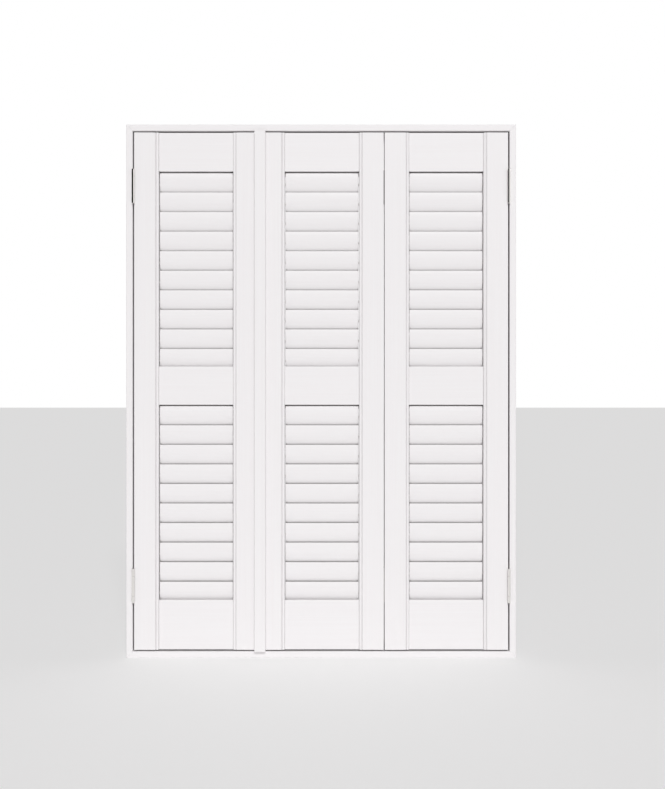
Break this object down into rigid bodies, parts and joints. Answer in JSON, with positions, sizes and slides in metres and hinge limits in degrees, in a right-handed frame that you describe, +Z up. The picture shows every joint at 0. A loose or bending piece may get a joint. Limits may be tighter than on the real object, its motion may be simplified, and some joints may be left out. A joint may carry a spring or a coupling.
{
  "type": "window shutter",
  "caption": "Louvred window shutter in its own mitred frame: one single panel and one folding pair, with tilting louvres and hidden tilt bars",
  "frame": {"origin": "centre of the underside of the frame's bottom member", "axes": "X to the right, Y from the room to the window, Z up"},
  "size_m": [0.78, 0.055, 1.067],
  "materials": {
    "frame_paint": "satin white paint on timber",
    "panel_paint": "satin white paint on timber",
    "louvre_paint": "satin white paint on timber",
    "strip_paint": "satin white paint on timber",
    "hinge_metal": "polished nickel plate",
    "tilt_bar_metal": "white powder coat"
  },
  "bodies": {
    "frame": {"frame_left_member": "frame_paint", "frame_right_member": "frame_paint", "frame_top_member": "frame_paint", "frame_bottom_member": "frame_paint", "frame_hinge_leaves": "hinge_metal"},
    "left_panel": {"left_panel_left_stile": "panel_paint", "left_panel_right_stile": "panel_paint", "left_panel_top_rail": "panel_paint", "left_panel_mid_rail": "panel_paint", "left_panel_bottom_rail": "panel_paint", "left_panel_hinge_leaves": "hinge_metal", "left_panel_hinge_pins": "hinge_metal", "meeting_strip": "strip_paint"},
    "upper_louvre_01": {"left_panel_upper_louvre_01": "louvre_paint"},
    "upper_louvre_02": {"left_panel_upper_louvre_02": "louvre_paint"},
    "upper_louvre_03": {"left_panel_upper_louvre_03": "louvre_paint"},
    "upper_louvre_04": {"left_panel_upper_louvre_04": "louvre_paint"},
    "upper_louvre_05": {"left_panel_upper_louvre_05": "louvre_paint"},
    "upper_louvre_06": {"left_panel_upper_louvre_06": "louvre_paint"},
    "upper_louvre_07": {"left_panel_upper_louvre_07": "louvre_paint"},
    "upper_louvre_08": {"left_panel_upper_louvre_08": "louvre_paint"},
    "upper_louvre_09": {"left_panel_upper_louvre_09": "louvre_paint"},
    "upper_louvre_10": {"left_panel_upper_louvre_10": "louvre_paint"},
    "upper_tilt_bar": {"left_panel_upper_tilt_bar": "tilt_bar_metal"},
    "lower_louvre_01": {"left_panel_lower_louvre_01": "louvre_paint"},
    "lower_louvre_02": {"left_panel_lower_louvre_02": "louvre_paint"},
    "lower_louvre_03": {"left_panel_lower_louvre_03": "louvre_paint"},
    "lower_louvre_04": {"left_panel_lower_louvre_04": "louvre_paint"},
    "lower_louvre_05": {"left_panel_lower_louvre_05": "louvre_paint"},
    "lower_louvre_06": {"left_panel_lower_louvre_06": "louvre_paint"},
    "lower_louvre_07": {"left_panel_lower_louvre_07": "louvre_paint"},
    "lower_louvre_08": {"left_panel_lower_louvre_08": "louvre_paint"},
    "lower_louvre_09": {"left_panel_lower_louvre_09": "louvre_paint"},
    "lower_louvre_10": {"left_panel_lower_louvre_10": "louvre_paint"},
    "lower_tilt_bar": {"left_panel_lower_tilt_bar": "tilt_bar_metal"},
    "centre_panel": {"centre_panel_left_stile": "panel_paint", "centre_panel_right_stile": "panel_paint", "centre_panel_top_rail": "panel_paint", "centre_panel_mid_rail": "panel_paint", "centre_panel_bottom_rail": "panel_paint", "centre_panel_louvres": "louvre_paint", "centre_panel_tilt_bars": "tilt_bar_metal", "centre_panel_fold_leaves": "hinge_metal"},
    "right_panel": {"right_panel_left_stile": "panel_paint", "right_panel_right_stile": "panel_paint", "right_panel_top_rail": "panel_paint", "right_panel_mid_rail": "panel_paint", "right_panel_bottom_rail": "panel_paint", "right_panel_louvres": "louvre_paint", "right_panel_tilt_bars": "tilt_bar_metal", "right_panel_hinge_leaves": "hinge_metal", "right_panel_hinge_pins": "hinge_metal", "right_panel_fold_leaves": "hinge_metal", "right_panel_fold_pins": "hinge_metal"}
  },
  "joints": [
    {"name": "left_panel_swing", "type": "hinge", "parent": "frame", "child": "left_panel", "pos_m": [-0.3755, -0.0258, 0.5335], "axis": [0, 0, -1], "range_deg": [0, 170]},
    {"name": "right_panel_swing", "type": "hinge", "parent": "frame", "child": "right_panel", "pos_m": [0.3755, -0.0258, 0.5335], "axis": [0, 0, 1], "range_deg": [0, 85]},
    {"name": "centre_panel_fold", "type": "hinge", "parent": "right_panel", "child": "centre_panel", "pos_m": [0.1261, 0.0078, 0.5335], "axis": [0, 0, -1], "range_deg": [0, 170]},
    {"name": "upper_louvre_01_tilt", "type": "hinge", "parent": "left_panel", "child": "upper_louvre_01", "pos_m": [-0.2505, -0.009, 0.94886], "axis": [1, 0, 0], "range_deg": [0, 110]},
    {"name": "upper_louvre_02_tilt", "type": "hinge", "parent": "left_panel", "child": "upper_louvre_02", "pos_m": [-0.2505, -0.009, 0.90957], "axis": [1, 0, 0], "range_deg": [0, 110]},
    {"name": "upper_louvre_03_tilt", "type": "hinge", "parent": "left_panel", "child": "upper_louvre_03", "pos_m": [-0.2505, -0.009, 0.87028], "axis": [1, 0, 0], "range_deg": [0, 110]},
    {"name": "upper_louvre_04_tilt", "type": "hinge", "parent": "left_panel", "child": "upper_louvre_04", "pos_m": [-0.2505, -0.009, 0.83099], "axis": [1, 0, 0], "range_deg": [0, 110]},
    {"name": "upper_louvre_05_tilt", "type": "hinge", "parent": "left_panel", "child": "upper_louvre_05", "pos_m": [-0.2505, -0.009, 0.7917], "axis": [1, 0, 0], "range_deg": [0, 110]},
    {"name": "upper_louvre_06_tilt", "type": "hinge", "parent": "left_panel", "child": "upper_louvre_06", "pos_m": [-0.2505, -0.009, 0.7524], "axis": [1, 0, 0], "range_deg": [0, 110]},
    {"name": "upper_louvre_07_tilt", "type": "hinge", "parent": "left_panel", "child": "upper_louvre_07", "pos_m": [-0.2505, -0.009, 0.71311], "axis": [1, 0, 0], "range_deg": [0, 110]},
    {"name": "upper_louvre_08_tilt", "type": "hinge", "parent": "left_panel", "child": "upper_louvre_08", "pos_m": [-0.2505, -0.009, 0.67382], "axis": [1, 0, 0], "range_deg": [0, 110]},
    {"name": "upper_louvre_09_tilt", "type": "hinge", "parent": "left_panel", "child": "upper_louvre_09", "pos_m": [-0.2505, -0.009, 0.63453], "axis": [1, 0, 0], "range_deg": [0, 110]},
    {"name": "upper_louvre_10_tilt", "type": "hinge", "parent": "left_panel", "child": "upper_louvre_10", "pos_m": [-0.2505, -0.009, 0.59524], "axis": [1, 0, 0], "range_deg": [0, 110]},
    {"name": "upper_tilt_bar_pivot", "type": "hinge", "parent": "upper_louvre_05", "child": "upper_tilt_bar", "pos_m": [-0.30785, -0.00062, 0.76373], "axis": [1, 0, 0], "range_deg": [-110, 0]},
    {"name": "lower_louvre_01_tilt", "type": "hinge", "parent": "left_panel", "child": "lower_louvre_01", "pos_m": [-0.2505, -0.009, 0.48126], "axis": [1, 0, 0], "range_deg": [0, 110]},
    {"name": "lower_louvre_02_tilt", "type": "hinge", "parent": "left_panel", "child": "lower_louvre_02", "pos_m": [-0.2505, -0.009, 0.44197], "axis": [1, 0, 0], "range_deg": [0, 110]},
    {"name": "lower_louvre_03_tilt", "type": "hinge", "parent": "left_panel", "child": "lower_louvre_03", "pos_m": [-0.2505, -0.009, 0.40268], "axis": [1, 0, 0], "range_deg": [0, 110]},
    {"name": "lower_louvre_04_tilt", "type": "hinge", "parent": "left_panel", "child": "lower_louvre_04", "pos_m": [-0.2505, -0.009, 0.36339], "axis": [1, 0, 0], "range_deg": [0, 110]},
    {"name": "lower_louvre_05_tilt", "type": "hinge", "parent": "left_panel", "child": "lower_louvre_05", "pos_m": [-0.2505, -0.009, 0.3241], "axis": [1, 0, 0], "range_deg": [0, 110]},
    {"name": "lower_louvre_06_tilt", "type": "hinge", "parent": "left_panel", "child": "lower_louvre_06", "pos_m": [-0.2505, -0.009, 0.2848], "axis": [1, 0, 0], "range_deg": [0, 110]},
    {"name": "lower_louvre_07_tilt", "type": "hinge", "parent": "left_panel", "child": "lower_louvre_07", "pos_m": [-0.2505, -0.009, 0.24551], "axis": [1, 0, 0], "range_deg": [0, 110]},
    {"name": "lower_louvre_08_tilt", "type": "hinge", "parent": "left_panel", "child": "lower_louvre_08", "pos_m": [-0.2505, -0.009, 0.20622], "axis": [1, 0, 0], "range_deg": [0, 110]},
    {"name": "lower_louvre_09_tilt", "type": "hinge", "parent": "left_panel", "child": "lower_louvre_09", "pos_m": [-0.2505, -0.009, 0.16693], "axis": [1, 0, 0], "range_deg": [0, 110]},
    {"name": "lower_louvre_10_tilt", "type": "hinge", "parent": "left_panel", "child": "lower_louvre_10", "pos_m": [-0.2505, -0.009, 0.12764], "axis": [1, 0, 0], "range_deg": [0, 110]},
    {"name": "lower_tilt_bar_pivot", "type": "hinge", "parent": "lower_louvre_05", "child": "lower_tilt_bar", "pos_m": [-0.30785, -0.00062, 0.29613], "axis": [1, 0, 0], "range_deg": [-110, 0]}
  ],
  "couplings": [
    {"joint": "right_panel_swing", "follows": "left_panel_swing", "ratio": 0.5},
    {"joint": "centre_panel_fold", "follows": "left_panel_swing", "ratio": 1},
    {"joint": "upper_louvre_01_tilt", "follows": "upper_louvre_05_tilt", "ratio": 1},
    {"joint": "upper_louvre_02_tilt", "follows": "upper_louvre_05_tilt", "ratio": 1},
    {"joint": "upper_louvre_03_tilt", "follows": "upper_louvre_05_tilt", "ratio": 1},
    {"joint": "upper_louvre_04_tilt", "follows": "upper_louvre_05_tilt", "ratio": 1},
    {"joint": "upper_louvre_06_tilt", "follows": "upper_louvre_05_tilt", "ratio": 1},
    {"joint": "upper_louvre_07_tilt", "follows": "upper_louvre_05_tilt", "ratio": 1},
    {"joint": "upper_louvre_08_tilt", "follows": "upper_louvre_05_tilt", "ratio": 1},
    {"joint": "upper_louvre_09_tilt", "follows": "upper_louvre_05_tilt", "ratio": 1},
    {"joint": "upper_louvre_10_tilt", "follows": "upper_louvre_05_tilt", "ratio": 1},
    {"joint": "upper_tilt_bar_pivot", "follows": "upper_louvre_05_tilt", "ratio": -1},
    {"joint": "lower_louvre_01_tilt", "follows": "lower_louvre_05_tilt", "ratio": 1},
    {"joint": "lower_louvre_02_tilt", "follows": "lower_louvre_05_tilt", "ratio": 1},
    {"joint": "lower_louvre_03_tilt", "follows": "lower_louvre_05_tilt", "ratio": 1},
    {"joint": "lower_louvre_04_tilt", "follows": "lower_louvre_05_tilt", "ratio": 1},
    {"joint": "lower_louvre_06_tilt", "follows": "lower_louvre_05_tilt", "ratio": 1},
    {"joint": "lower_louvre_07_tilt", "follows": "lower_louvre_05_tilt", "ratio": 1},
    {"joint": "lower_louvre_08_tilt", "follows": "lower_louvre_05_tilt", "ratio": 1},
    {"joint": "lower_louvre_09_tilt", "follows": "lower_louvre_05_tilt", "ratio": 1},
    {"joint": "lower_louvre_10_tilt", "follows": "lower_louvre_05_tilt", "ratio": 1},
    {"joint": "lower_tilt_bar_pivot", "follows": "lower_louvre_05_tilt", "ratio": -1}
  ]
}
